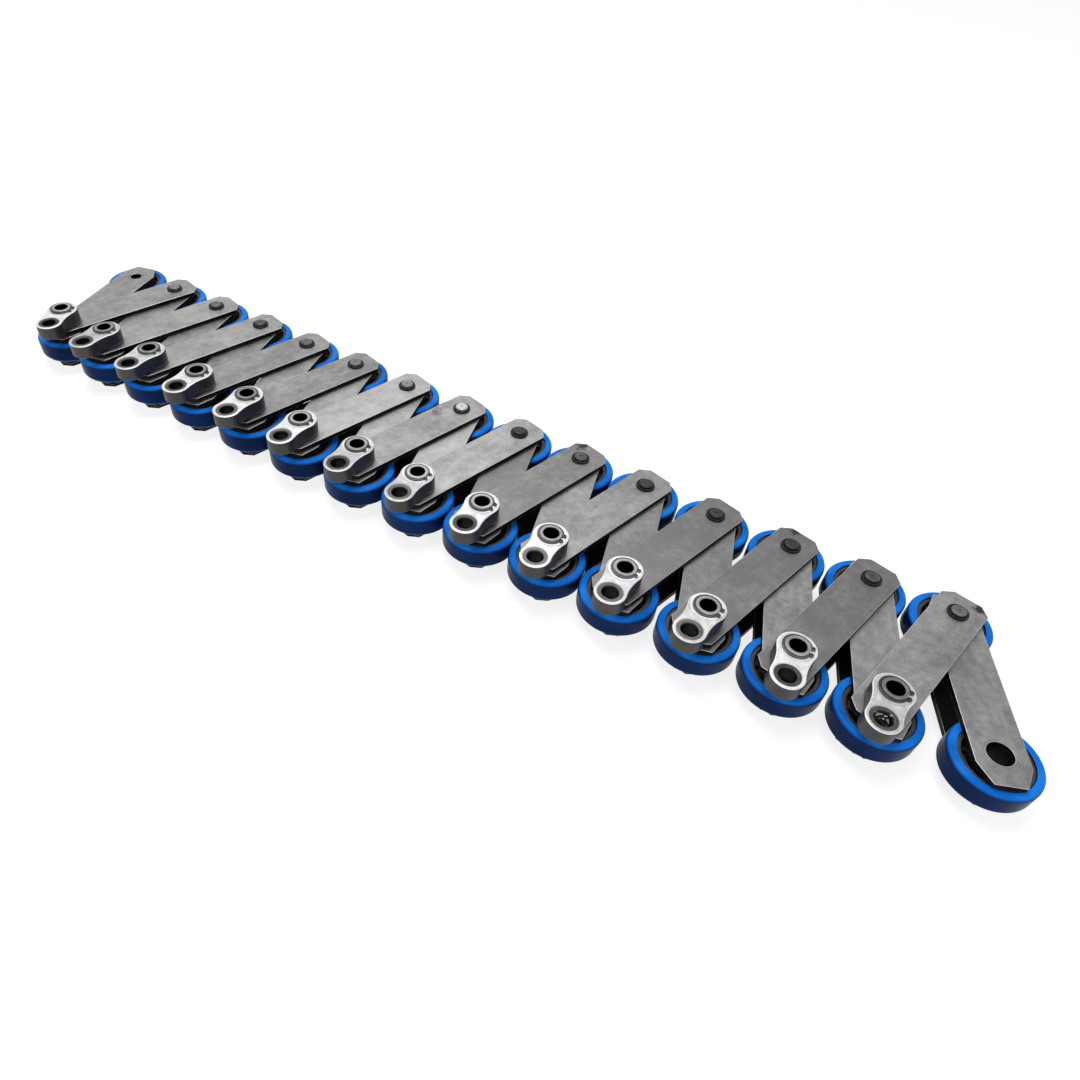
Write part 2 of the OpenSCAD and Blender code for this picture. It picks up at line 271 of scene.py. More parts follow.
def slab(outline, eyes, low_z, high_z, low_edge, high_edge, arc_steps=ARC_STEPS):
    """A flat block with two round eyes: its section carried round its outline, from the eyes to the rim.

    Each column of the outline gives a rim point, the rim's normal, and either the eye that it belongs to with
    its direction from that eye's middle, or eye -1 for a column that starts on the line between both eyes.
    A point on the rim is rim + offset(s) * normal, a point in an eye is middle + radius(s) * direction, and
    the flat faces span what is between. Eyes are given as their middle and the section's corners and radii,
    from the top face down to the bottom face. The rim's lower and upper edge are rounded by low_edge and
    high_edge. In the eyes the edge value is negative, so that a finish leaves their edges dark.
    """
    # Both sections are closed by corners this far off, which aren't used
    far = 100.0
    rim_corners = [(-far, low_z), (0, low_z), (0, high_z), (-far, high_z)]
    rim_radii = [low_edge, low_edge, high_edge, high_edge]
    rim, rim_facing, rim_edge = (a[1:3] for a in rounded(rim_corners, rim_radii, arc_steps))
    rim, rim_facing, rim_edge = rim.reshape(-1, 2), rim_facing.reshape(-1, 2), rim_edge.ravel()
    walls = []
    for _, corners, radii in eyes:
        wall = rounded([(far, low_z), (far, high_z), *corners], [low_edge, high_edge, *radii])
        walls.append([a[2:].reshape(-1, *a.shape[2:]) for a in wall])
    middles = np.array([middle for middle, _, _ in eyes], float)
    eye, rim_at, rim_normal, ray = outline
    columns, inner_rows = len(eye), len(walls[0][0])
    rim_ways, rays = in_space(rim_normal), in_space(ray)
    outer = in_space(rim_at)[:, None] + carried(rim_ways, rim)
    outer_normal = carried(rim_ways, rim_facing)
    outer_edge = np.tile(rim_edge, (columns, 1))
    section, facing, wall_edge = (np.stack(values)[eye] for values in zip(*walls))
    inner = in_space(middles[eye])[:, None] + carried(rays, section)
    between = eye < 0
    upper = (np.arange(inner_rows) < inner_rows / 2)[None, :, None]
    on_line = rays[:, None] + UP * np.where(upper, high_z, low_z)
    inner = np.where(between[:, None, None], on_line, inner)
    inner_normal = np.where(between[:, None, None], UP * np.where(upper, 1, -1), carried(rays, facing))
    inner_edge = np.where(between[:, None], 0, -wall_edge)
    inner_hollow = np.where(between[:, None], 0, np.clip(-facing[..., 0], 0, 1))
    rows = len(rim) + inner_rows
    quads = grid_quads(columns, rows).reshape(columns, rows, 4)
    # No wall is made between the eyes, where the faces of both sides meet on the line
    wall_row = np.arange(rows) >= len(rim)
    wall_row[-1] = False
    open_column = between | np.roll(between, -1)
    quads = quads[~(open_column[:, None] & wall_row[None, :])]
    points = np.concatenate([outer, inner], axis=1)
    normals = np.concatenate([outer_normal, inner_normal], axis=1)
    edge = np.concatenate([outer_edge, inner_edge], axis=1)
    hollow = np.concatenate([0 * outer_edge, inner_hollow], axis=1)
    return surface(points, normals, edge, hollow, quads)


def eye_outline(side, ends, eye_middles, eye_reaches, line_x):
    """Columns for a slab that is the same on both sides of the line through its eyes.

    side(x) gives the rim point and normal on the side of negative y, ends are the rim points and normals
    round the first and the second eye, eye_reaches are the eyes' largest radii, and line_x are the places of
    the columns that start on the line between the eyes. Beside an eye, x = middle + reach * sin(angle).
    """
    quarter = np.linspace(0, np.pi / 2, EYE_STEPS + 1)
    first_x = eye_middles[0] + eye_reaches[0] * np.sin(quarter)
    second_x = eye_middles[1] - eye_reaches[1] * np.sin(quarter[::-1])
    side_x = np.concatenate([first_x, line_x, second_x])
    lower_rim, lower_normal = side(side_x)
    lower_eye = np.repeat([0, -1, 1], [len(first_x), len(line_x), len(second_x)])
    lower_ray = np.concatenate([
        np.stack([np.sin(quarter), -np.cos(quarter)], axis=1),
        np.stack([line_x, 0 * line_x], axis=1),
        np.stack([-np.sin(quarter[::-1]), -np.cos(quarter[::-1])], axis=1),
    ])
    mirror = np.array([1, -1])
    (back_rim, back_normal), (front_rim, front_normal) = ends
    ray_from = lambda rim, x: unit(rim - np.array([x, 0]))
    inside = slice(1, -1)
    eye = np.concatenate([
        lower_eye, np.full(len(front_rim) - 2, 1), lower_eye[::-1], np.full(len(back_rim) - 2, 0)])
    rim = np.concatenate([lower_rim, front_rim[inside], lower_rim[::-1] * mirror, back_rim[inside]])
    normal = np.concatenate([
        lower_normal, front_normal[inside], lower_normal[::-1] * mirror, back_normal[inside]])
    ray = np.concatenate([
        lower_ray,
        ray_from(front_rim, eye_middles[1])[inside],
        lower_ray[::-1] * mirror,
        ray_from(back_rim, eye_middles[0])[inside],
    ])
    return eye, rim, normal, ray


def link_plate(low_z, reaches, chamfer, back_hole_r, front_hole_r):
    """Flat bar with cut corners: the back pin at the origin, the front pin one pitch along +X."""
    half_w, half_flat = PLATE_W / 2, END_FLAT / 2
    high_z = low_z + PLATE_T

    def end_line(middle, way, reach):
        """The rim round one end, anticlockwise, as a rounded line through its four corners."""
        shoulder, tip = middle + way * (reach - chamfer), middle + way * reach
        corners = np.array([
            (middle, -way * half_w), (shoulder, -way * half_w), (tip, -way * half_flat),
            (tip, way * half_flat), (shoulder, way * half_w), (middle, way * half_w)])
        points, normals, _ = rounded(corners, PLATE_CORNER)
        line = np.concatenate([corners[:1], points[1:-1].reshape(-1, 2), corners[-1:]])
        line_normals = np.concatenate([[(0, -way)], normals[1:-1].reshape(-1, 2), [(0, way)]])
        return along_line(line, line_normals)

    side = lambda x: (np.stack([x, 0 * x - half_w], axis=1), np.stack([0 * x, 0 * x - 1], axis=1))
    ends = end_line(0, -1, reaches[0]), end_line(PITCH, 1, reaches[1])
    eye_reaches = back_hole_r + PLATE_EDGE, front_hole_r + PLATE_EDGE
    outline = eye_outline(side, ends, (0, PITCH), eye_reaches, np.array([PITCH / 2]))
    eyes = [
        ((x, 0), [(r, high_z), (r, low_z)], [PLATE_EDGE, PLATE_EDGE])
        for x, r in ((0, back_hole_r), (PITCH, front_hole_r))
    ]
    return slab(outline, eyes, low_z, high_z, PLATE_EDGE, PLATE_EDGE)


def bracket_block():
    """Figure-eight block: two round lobes joined by hollow flanks that run smoothly into both.

    A flank's middle lies where circles of lobe radius + flank radius about both eyes meet. The block hangs
    clear of the upper plate, and a round foot under the pin's lobe stands on it.
    """
    pin_reach, sleeve_reach = PIN_LOBE_R + FLANK_R, SLEEVE_LOBE_R + FLANK_R
    flank_x = (HOLE_PITCH ** 2 + pin_reach ** 2 - sleeve_reach ** 2) / (2 * HOLE_PITCH)
    flank_y = math.sqrt(pin_reach ** 2 - flank_x ** 2)
    pin_end_x = flank_x * PIN_LOBE_R / pin_reach
    sleeve_start_x = HOLE_PITCH + (flank_x - HOLE_PITCH) * SLEEVE_LOBE_R / sleeve_reach

    def side(x):
        """Rim point and normal at x: on the pin's lobe, on the hollow flank or on the sleeve's lobe."""
        lobe = [x <= pin_end_x, x < sleeve_start_x]
        middle_x = np.select(lobe, [0 * x, 0 * x + flank_x], HOLE_PITCH)
        middle_y = np.select(lobe, [0 * x, 0 * x - flank_y], 0)
        radius = np.select(lobe, [0 * x + PIN_LOBE_R, 0 * x - FLANK_R], SLEEVE_LOBE_R)
        drop = np.sqrt(np.maximum(radius ** 2 - (x - middle_x) ** 2, 0))
        rim = np.stack([x, middle_y - np.sign(radius) * drop], axis=1)
        return rim, (rim - np.stack([middle_x, middle_y], axis=1)) / radius[:, None]

    def end_line(middle, way, radius):
        """Half a turn round one lobe."""
        angle = np.linspace(-np.pi / 2, np.pi / 2, 2 * EYE_STEPS + 1) + (0 if way > 0 else np.pi)
        normal = np.stack([np.cos(angle), np.sin(angle)], axis=1)
        return normal * radius + np.array([middle, 0]), normal

    pin_hole_r, sleeve_hole_r, fine = FRONT_PIN_R + SEAT_GAP, SLEEVE_R + SEAT_GAP, TURNED_EDGE
    top_z, middle_z = BRACKET_TOP_Z, BRACKET_TOP_Z - HOLE_CHAMFER
    eyes = [
        ((0, 0), [(pin_hole_r, z) for z in (top_z, middle_z, HUNG_Z)], [fine, fine, fine]),
        ((HOLE_PITCH, 0),
         [(sleeve_hole_r + HOLE_CHAMFER, top_z), (sleeve_hole_r, middle_z), (sleeve_hole_r, HUNG_Z)],
         [fine, fine, fine]),
    ]
    reaches = pin_hole_r + fine, sleeve_hole_r + HOLE_CHAMFER + fine
    line_x = np.linspace(reaches[0], HOLE_PITCH - reaches[1], BRACKET_LINE_COLUMNS + 2)[1:-1]
    ends = end_line(0, -1, PIN_LOBE_R), end_line(HOLE_PITCH, 1, SLEEVE_LOBE_R)
    outline = eye_outline(side, ends, (0, HOLE_PITCH), reaches, line_x)
    block = slab(outline, eyes, HUNG_Z, top_z, fine, BRACKET_EDGE, BRACKET_ARC_STEPS)
    foot = turned(
        [(pin_hole_r, BRACKET_Z), (PIN_LOBE_R, BRACKET_Z), (PIN_LOBE_R, HUNG_Z), (pin_hole_r, HUNG_Z)], fine)
    # The foot's edges get no painted highlight
    foot["edge"] = 0 * foot["edge"]
    return [block, foot]


def bush(pin_r, wall, axis=(0, 0)):
    """Bush between the two inner plates, flush with their outer faces."""
    bore_r, outer_r = pin_r + RUN_GAP, pin_r + RUN_GAP + wall
    low_z, high_z = INNER_LOW_Z, INNER_HIGH_Z + PLATE_T
    section = [(bore_r, low_z), (outer_r, low_z), (outer_r, high_z), (bore_r, high_z)]
    return turned(section, [TURNED_EDGE * 2, TURNED_EDGE, TURNED_EDGE, TURNED_EDGE * 2], axis=axis)


def back_pin():
    """Solid pin with a head under the chain, and a chamfered end with a centre dimple above it."""
    top_z, head_r, under_z = STACK_TOP_Z + PIN_STAND, BACK_PIN_R + HEAD_RIM, HEAD_T - SEAT_GAP
    dimple_z, fine = top_z - DIMPLE_DEPTH, TURNED_EDGE
    section = [
        (0, 0), (head_r, 0), (head_r, under_z), (BACK_PIN_R, under_z), (BACK_PIN_R, top_z - PIN_CHAMFER),
        (BACK_PIN_R - PIN_CHAMFER, top_z), (DIMPLE_R, top_z), (DIMPLE_R / 4, dimple_z), (0, dimple_z)]
    return turned(section, [fine, fine * 2, fine * 2, fine / 4, fine, fine, fine, fine / 4, fine], solid=True)


def keeper():
    """Retaining ring on the upper end of a back pin, sunk round the pin."""
    inner_r, outer_r, sunk_r = BACK_PIN_R + SEAT_GAP, BACK_PIN_R + KEEPER_RIM, BACK_PIN_R + KEEPER_RIM / 2
    low_z, high_z = STACK_TOP_Z + SEAT_GAP, STACK_TOP_Z + SEAT_GAP + KEEPER_T
    step = KEEPER_T / 4
    section = [
        (inner_r, low_z), (outer_r, low_z), (outer_r, high_z - step), (outer_r - step, high_z),
        (sunk_r, high_z), (sunk_r, high_z - step), (inner_r, high_z - step)]
    return turned(section, TURNED_EDGE / 2)


def hollow_pin():
    """Flanged hollow pin that stands through the bracket, with a groove near its upper end."""
    bore_r, flange_r, under_z = FRONT_PIN_BORE_R, FRONT_PIN_R + HEAD_RIM, HEAD_T - SEAT_GAP
    groove_low_z, groove_high_z = CLIP_Z - SEAT_GAP, HOLLOW_TOP_Z - PIN_LAND
    lip = PIN_LAND / 2
    section = [
        (bore_r, 0), (flange_r, 0), (flange_r, under_z), (FRONT_PIN_R, under_z), (FRONT_PIN_R, groove_low_z),
        (GROOVE_R, groove_low_z), (GROOVE_R, groove_high_z), (FRONT_PIN_R, groove_high_z),
        (FRONT_PIN_R, HOLLOW_TOP_Z - lip), (FRONT_PIN_R - lip, HOLLOW_TOP_Z), (bore_r + lip, HOLLOW_TOP_Z),
        (bore_r, HOLLOW_TOP_Z - lip)]
    fine = TURNED_EDGE / 2
    return turned(section, [2 * fine, 2 * fine, 2 * fine, *[fine / 2] * 5, fine, fine, fine, fine])


def washer():
    """Thin washer on the bracket, under the circlip."""
    inner_r, high_z = FRONT_PIN_R + RUN_GAP, WASHER_Z + WASHER_T
    section = [(inner_r, WASHER_Z), (WASHER_R, WASHER_Z), (WASHER_R, high_z), (inner_r, high_z)]
    return turned(section, TURNED_EDGE / 2)


def sleeve():
    """Sleeve in the free hole of a bracket, its mouth countersunk."""
    low_z, high_z = HUNG_Z, BRACKET_TOP_Z - SLEEVE_SETBACK
    mouth = (SLEEVE_R - SLEEVE_BORE_R) / 4
    section = [
        (SLEEVE_BORE_R, low_z), (SLEEVE_R, low_z), (SLEEVE_R, high_z), (SLEEVE_BORE_R + mouth, high_z),
        (SLEEVE_BORE_R, high_z - mouth)]
    return turned(section, TURNED_EDGE, axis=(HOLE_PITCH, 0))


def circlip():
    """Open spring ring in the hollow pin's groove: a band that swells away from its opening, and two eyes.

    The band's section is a rounded square carried round from one side of the opening to the other. Its width
    is the groove's depth + its end's width + what it swells by * (1 - cos(angle from the opening)) / 2.
    """
    inner_r, fine = GROOVE_R + SEAT_GAP, TURNED_EDGE / 2
    low_z, high_z = CLIP_Z, CLIP_Z + CLIP_T
    section, facing, edge = rounded([(0, low_z), (1, low_z), (1, high_z), (0, high_z)], fine)
    section, facing, edge = section.reshape(-1, 2), facing.reshape(-1, 2), edge.ravel()
    opening, half = math.pi / 2, math.radians(CLIP_OPENING / 2)
    angle = np.linspace(half, 2 * np.pi - half, TURN_STEPS)
    width = GROOVE_DEPTH + CLIP_BAND_END + (CLIP_BAND - CLIP_BAND_END) * (1 - np.cos(angle)) / 2
    radius = inner_r + section[:, 0] * width[:, None]
    swollen = np.stack([radius, np.broadcast_to(section[:, 1], radius.shape)], axis=-1)
    rays = np.stack([np.cos(angle + opening), np.sin(angle + opening), 0 * angle], axis=1)
    rows = len(section)
    first = np.arange(rows)
    caps = [first, (first + (TURN_STEPS - 1) * rows)[::-1]]
    # The last column of quads is left out, because it would close the opening
    quads = grid_quads(TURN_STEPS, rows)[:-rows]
    band = surface(carried(rays, swollen), carried(rays, facing), edge, 0.0, quads, caps)
    eye_at = FRONT_PIN_R + CLIP_EYE_R + RUN_GAP
    ring = [(CLIP_HOLE_R, low_z), (CLIP_EYE_R, low_z), (CLIP_EYE_R, high_z), (CLIP_HOLE_R, high_z)]
    eyes = [
        turned(ring, fine, CLIP_EYE_STEPS, axis=(eye_at * math.cos(at), eye_at * math.sin(at)))
        for at in (opening - half, opening + half)
    ]
    return [band, *eyes]


def tyre():
    """Round-shouldered tyre, standing round its hub."""
    low_z, high_z = ROLLER_Z - ROLLER_W / 2, ROLLER_Z + ROLLER_W / 2
    section = [(TYRE_BORE_R, low_z), (ROLLER_R, low_z), (ROLLER_R, high_z), (TYRE_BORE_R, high_z)]
    return turned(section, [TYRE_LIP, SHOULDER_R, SHOULDER_R, TYRE_LIP], arc_steps=SHOULDER_STEPS)


def hub():
    """Moulded hub: rim and boss joined by a web, with ribs of even thickness on both sides.

    One section has the web's height between boss and rim, the other the ribs'. Columns come in fours at a
    rib's two edges and their feet, at angle asin(offset / radius) from the rib's middle, with a few more
    columns in the gap to the next rib. The rib's section is used on its edges and the web's elsewhere.
    """
    bore_r, outer_r = BEARING_R + SEAT_GAP, TYRE_BORE_R - SEAT_GAP
    boss_r, rim_r, half_w = bore_r + HUB_BOSS, outer_r - HUB_RIM, ROLLER_W / 2 - HUB_SETBACK

    def section(half_web):
        """Boss, web and rim, anticlockwise in radius and height."""
        lower = [
            (bore_r, -half_w), (boss_r, -half_w), (boss_r, -half_web), (rim_r, -half_web), (rim_r, -half_w),
            (outer_r, -half_w)]
        upper = [(r, -z) for r, z in lower[::-1]]
        points, _, _ = rounded(lower + upper, HUB_EDGE)
        return points.reshape(-1, 2)

    web, rib = section(HUB_WEB / 2), section(half_w - HUB_BOSS / 4 - HUB_EDGE)
    foot = RIB_T / 2 + RIB_DRAFT
    offsets = np.array([-foot, -RIB_T / 2, RIB_T / 2, foot])
    on_rib = np.tile([0, 1, 1, 0] + [0] * RIB_GAP_COLUMNS, RIB_COUNT)[:, None]
    radius = web[None, :, 0] * (1 - on_rib) + rib[None, :, 0] * on_rib
    height = web[None, :, 1] * (1 - on_rib) + rib[None, :, 1] * on_rib + ROLLER_Z
    sector = 2 * np.pi / RIB_COUNT
    rib_radius = radius.reshape(RIB_COUNT, len(offsets) + RIB_GAP_COLUMNS, -1)[:, :len(offsets)]
    lean = np.arcsin(offsets[None, :, None] / rib_radius)
    gap = np.linspace(0, 1, RIB_GAP_COLUMNS + 2)[None, 1:-1, None]
    between = lean[:, -1:] * (1 - gap) + (sector + lean[:, :1]) * gap
    angle = np.concatenate([lean, between], axis=1) + sector * np.arange(RIB_COUNT)[:, None, None]
    angle = angle.reshape(radius.shape)
    points = np.stack([radius * np.cos(angle), radius * np.sin(angle), height], axis=-1)
    return surface(points, 0.0, 0.0, 0.0, grid_quads(*radius.shape))


def bearing_rings(bush_r):
    """The bearing's inner and outer ring."""
    low_z, high_z = ROLLER_Z - BEARING_W / 2, ROLLER_Z + BEARING_W / 2
    inner_r = bush_r + RUN_GAP
    return [
        turned([(a, low_z), (b, low_z), (b, high_z), (a, high_z)], RING_EDGE)
        for a, b in ((inner_r, inner_r + RING_WALL), (BEARING_R - RING_WALL, BEARING_R))
    ]


def bearing_seals(bush_r):
    """The seals that stand back between the bearing's rings, with a raised bead in the middle."""
    inner_r, outer_r = bush_r + RUN_GAP + RING_WALL, BEARING_R - RING_WALL
    middle_r, half_w = (inner_r + outer_r) / 2, BEARING_W / 2 - SEAL_SETBACK
    half_bead = (outer_r - inner_r) / 8
    upper = [
        (outer_r, half_w), (middle_r + half_bead, half_w), (middle_r, half_w + SEAL_BEAD),
        (middle_r - half_bead, half_w), (inner_r, half_w)]
    section = [(r, ROLLER_Z - z) for r, z in upper[::-1]] + [(r, ROLLER_Z + z) for r, z in upper]
    return turned(section, TURNED_EDGE / 2)


# Pieces

def welded(points, faces):
    """Merges points in the same place and drops the ones in no face.

    Returns which points are kept, each old point's new number, the quads, and the triangles that quads with a
    merged side become.
    """
    used = np.unique(faces)
    spots = np.round(points[used], WELD_DIGITS)
    _, first, merged = np.unique(spots, axis=0, return_index=True, return_inverse=True)
    place = np.zeros(len(points), int)
    place[used] = merged.ravel()
    faces = place[faces]
    same = faces == np.roll(faces, -1, axis=1)
    quads = faces[~same.any(axis=1)]
    pinched = same.sum(axis=1) == 1
    triangles = faces[pinched][~same[pinched]].reshape(-1, 3)
    return used[first], place, quads, triangles


def shape_arrays(shells):
    """Joins shells into one set of arrays, kept by name, with the faces of all as lists of points."""
    arrays = {"points": [], "normals": [], "edge": [], "hollow": []}
    faces, count = [], 0
    for shell in shells:
        kept, place, quads, triangles = welded(shell["points"], shell["quads"])
        for key, parts in arrays.items():
            parts.append(shell[key][kept])
        faces += (quads + count).tolist() + (triangles + count).tolist()
        faces += [(place[cap] + count).tolist() for cap in shell["caps"]]
        count += len(kept)
    return {key: np.concatenate(parts) for key, parts in arrays.items()}, faces


def set_down(points, at, heading):
    """Points about a pin, turned to the heading in degrees and moved to the pin's place."""
    c, s = math.cos(math.radians(heading)), math.sin(math.radians(heading))
    return points @ np.array([[c, s, 0], [-s, c, 0], [0, 0, 1.0]]) + np.array([at[0], at[1], 0.0])


def add_attribute(mesh, name, kind, values):
    """Stores a value for each point of the mesh, for its material to read."""
    field = "vector" if kind == "FLOAT_VECTOR" else "value"
    mesh.attributes.new(name, kind, "POINT").data.foreach_set(field, np.asarray(values, np.float32).ravel())


# A stain is its place in plan about the piece's own pin and its strength
NO_STAIN = (0.0, 0.0, 0.0)


def make_piece(name, shells, at, heading, body, material, tone=0.5, stain=NO_STAIN,
               stands_for=None):
    """One piece of the chain: its mesh set down at its pin, with its material, riding on its body.

    Its points store their place about the pin, how near a rounded edge they are, how much they face into a
    bore, how much they face away from the rollers, and the piece's own tone and stain. A piece without
    normals of its own gets sharp edges by angle.
    """
    shape, faces = shape_arrays(shells)
    points, normals = shape["points"], shape["normals"]
    mesh = bpy.data.meshes.new(name)
    mesh.from_pydata((set_down(points, at, heading) * MM).tolist(), [], faces)
    mesh.polygons.foreach_set("use_smooth", np.ones(len(mesh.polygons), bool))
    add_attribute(mesh, "own_place", "FLOAT_VECTOR", points)
    add_attribute(mesh, "edge", "FLOAT", shape["edge"])
    add_attribute(mesh, "hollow", "FLOAT", shape["hollow"])
    # Plates, brackets and tyres paint faces turned away from the rollers as lit, and the others as shade
    add_attribute(mesh, "outward", "FLOAT", np.clip(normals[:, 2] * np.sign(points[:, 2] - ROLLER_Z), 0, 1))
    add_attribute(mesh, "tone", "FLOAT", np.full(len(points), tone))
    add_attribute(mesh, "stain", "FLOAT_VECTOR", np.tile(stain, (len(points), 1)))
    if normals.any():
        mesh.normals_split_custom_set_from_vertices(set_down(normals, (0, 0), heading).tolist())
    else:
        mesh.set_sharp_from_angle(angle=math.radians(SMOOTH_ANGLE))
    mesh.materials.append(material)
    piece = bpy.data.objects.new(name, mesh)
    bpy.context.scene.collection.objects.link(piece)
    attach(piece, body)
    if stands_for:
        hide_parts(stands_for)


# Materials

# Depth of the fine relief, in metres
BUMP_DEPTH = 0.0002


class Wire:
    """One output of a material's nodes. Arithmetic on wires and numbers adds Math nodes."""

    def __init__(self, tree, socket=None):
        self.tree = tree
        self.socket = socket

    def node(self, kind, settings=None, inputs=None, output=0):
        """Adds a node: its settings come first, then the values or wires of its sockets."""
        made = self.tree.nodes.new(kind)
        for key, value in (settings or {}).items():
            setattr(made, key, value)
        for key, value in (inputs or {}).items():
            if isinstance(value, Wire):
                self.tree.links.new(value.socket, made.inputs[key])
            else:
                made.inputs[key].default_value = value
        return Wire(self.tree, made.outputs[output])

    def math(self, operation, first, second):
        """A Math node on two values."""
        return self.node("ShaderNodeMath", {"operation": operation}, {0: first, 1: second})

    def __add__(self, other):
        return self.math("ADD", self, other)

    def __radd__(self, other):
        return self.math("ADD", other, self)

    def __sub__(self, other):
        return self.math("SUBTRACT", self, other)

    def __rsub__(self, other):
        return self.math("SUBTRACT", other, self)

    def __mul__(self, other):
        return self.math("MULTIPLY", self, other)

    def __rmul__(self, other):
        return self.math("MULTIPLY", other, self)

    def __pow__(self, other):
        return self.math("POWER", self, other)

    def __rpow__(self, other):
        return self.math("POWER", other, self)

    def step(self, low, high):
        """Runs smoothly from 0 where this is low to 1 where it is high."""
        ramp = {"From Min": low, "From Max": high, "Value": self}
        return self.node("ShaderNodeMapRange", {"interpolation_type": "SMOOTHSTEP"}, ramp)

    def split(self, vector):
        """The three numbers of a vector."""
        parts = self.node("ShaderNodeSeparateXYZ", inputs={0: vector})
        return [Wire(self.tree, socket) for socket in parts.socket.node.outputs]

    def mix(self, share, first, second):
        """A colour between two colours."""
        colours = {0: share, 6: first, 7: second}
        return self.node("ShaderNodeMix", {"data_type": "RGBA"}, colours, output=2)


class Finish(Wire):
    """A material under construction, with the patterns that this chain's finishes are made of."""

    def __init__(self, name, **constants):
        self.material = bpy.data.materials.new(name)
        self.material.use_nodes = True
        super().__init__(self.material.node_tree)
        self.shader = self.tree.nodes["Principled BSDF"]
        for key, value in constants.items():
            self.shader.inputs[key.replace("_", " ").title().replace("Ior", "IOR")].default_value = value

    def own(self, name):
        """A number that the piece's mesh stores for each point."""
        return self.node("ShaderNodeAttribute", {"attribute_name": name}, output=2)

    def own_vector(self, name):
        """The three numbers of a vector that the piece's mesh stores for each point."""
        return self.split(self.node("ShaderNodeAttribute", {"attribute_name": name}, output=1))

    def own_place(self):
        """The point's place about the piece's own pin, in millimetres, as three numbers."""
        return self.own_vector("own_place")

    def place(self):
        """The point's place in the whole chain, in metres."""
        return self.node("ShaderNodeTexCoord", output=3)

    def join(self, x, y, z):
        """A vector from three numbers."""
        return self.node("ShaderNodeCombineXYZ", inputs={0: x, 1: y, 2: z})

    def noise(self, vector, scale, detail=3.0, roughness=0.55):
        """Cloudy noise from 0 to 1."""
        inputs = {"Vector": vector, "Scale": scale, "Detail": detail, "Roughness": roughness}
        return self.node("ShaderNodeTexNoise", inputs=inputs)

    def bump(self, height, strength):
        """A normal from a height."""
        inputs = {"Height": height, "Strength": strength, "Distance": BUMP_DEPTH}
        return self.node("ShaderNodeBump", inputs=inputs)

    def feed(self, **wires):
        """Links wires to the shader's sockets and returns the finished material."""
        for key, wire in wires.items():
            self.tree.links.new(wire.socket, self.shader.inputs[key.replace("_", " ").title()])
        return self.material


def grey(value, warm=0.0):
    """A grey colour, a little warmer or cooler."""
    return (value * (1 + warm), value, value * (1 - warm), 1)


def plan_length(x, y):
    """Length of a vector in plan, from its two numbers."""
    return (x * x + y * y) ** 0.5


def rolled_steel():
    """Cold-rolled bar: satin grey faces, clouded and streaked along the bar, with specks, scuffs and stains.

    Cut sides and faces towards the rollers are painted near black as shade; rounded edges get a painted
    highlight.
    """
    f = Finish("rolled_steel", metallic=1.0)
    x, y, _ = f.own_place()
    tone, edge = f.own("tone"), f.own("edge")
    stain_x, stain_y, stain = f.own_vector("stain")
    # Faces turned away from the rollers get the lit colour, the rest the painted shade below
    shown = f.own("outward").step(0.5, 0.95)
    streak = f.noise(f.join(x * 0.012, y * 0.9, tone * 90.0), 1.0, 4.0, 0.6)
    cloud = f.noise(f.place(), 26.0, 4.0, 0.6)
    smear = f.noise(f.join(x * 0.05, y * 0.11, tone * 40.0), 1.0, 3.0, 0.5)
    speck = f.noise(f.place(), 620.0, 2.0, 0.5).step(0.68, 0.76)
    scuff = f.noise(f.place(), 95.0, 4.0, 0.65).step(0.62, 0.72)
    mottle = f.noise(f.place(), 170.0, 4.0, 0.65)
    grain = f.noise(f.place(), 900.0, 2.0)
    light = cloud * 0.4 + mottle * 0.4 + streak * 0.12 + smear * 0.3 + grain * 0.25 + (tone - 0.5) * 0.8
    face = f.mix(light.step(0.35, 1.1), grey(0.17), grey(0.46, 0.015))
    face = f.mix(scuff * 0.30 + speck * 0.35, face, grey(0.10, 0.06))
    from_stain = plan_length(x - stain_x, y - stain_y)
    spread = (1 - (from_stain + (mottle - 0.5) * 22.0).step(1.5, 7.5)) * stain
    face = f.mix(spread * 0.9, face, grey(0.02, 0.15))
    # Painted shade: cut sides and faces towards the rollers are near black
    painted_shade = f.mix(cloud.step(0.4, 0.8), grey(0.010), grey(0.035, 0.08))
    colour = f.mix(shown, painted_shade, face)
    # Painted highlight: the rounded edges are lightened towards near white
    colour = f.mix(edge.step(0.2, 0.9) * 0.8, colour, grey(0.75, 0.03))
    rough = 0.50 - shown * 0.16 + cloud * 0.12 + mottle * 0.12 - speck * 0.05
    height = streak * 0.3 + grain * 0.35 - speck * 0.6
    return f.feed(base_color=colour, roughness=rough, normal=f.bump(height, 0.12))


def turned_steel(name, dark, light, roughness, glint=0.0):
    """Turned steel: fine rings about the axis, uneven tone, painted edge highlights, bores painted black as
    shade with glints.
    """
    f = Finish(name, metallic=1.0)
    x, y, z = f.own_place()
    tone, edge = f.own("tone"), f.own("edge")
    rings = f.noise(f.join(plan_length(x, y) * 3.0, z * 3.0, tone * 70.0), 1.0, 3.0, 0.7)
    cloud = f.noise(f.place(), 60.0, 4.0, 0.6)
    shade = rings * 0.45 + cloud * 0.5 + (tone - 0.5) * 0.9
    base = f.mix(shade.step(0.2, 0.9), dark, light)
    # Painted highlight: the rounded edges are lightened
    edge_highlighted = f.mix(edge.step(0.3, 1.0) * 0.35, base, grey(0.6))
    # Painted glints: bright spots in a bore, as strong as glint
    spark = f.noise(f.place(), 330.0, 2.0, 0.5).step(0.56, 0.64)
    bore = f.mix(spark * glint, grey(0.012, 0.05), grey(0.8))
    # Painted shade: faces into a bore are near black, with the painted glints where glint is set
    colour = f.mix(f.own("hollow").step(0.5, 0.9), edge_highlighted, bore)
    rough = roughness + cloud * 0.14 + rings * 0.08
    return f.feed(base_color=colour, roughness=rough, normal=f.bump(rings, 0.10))


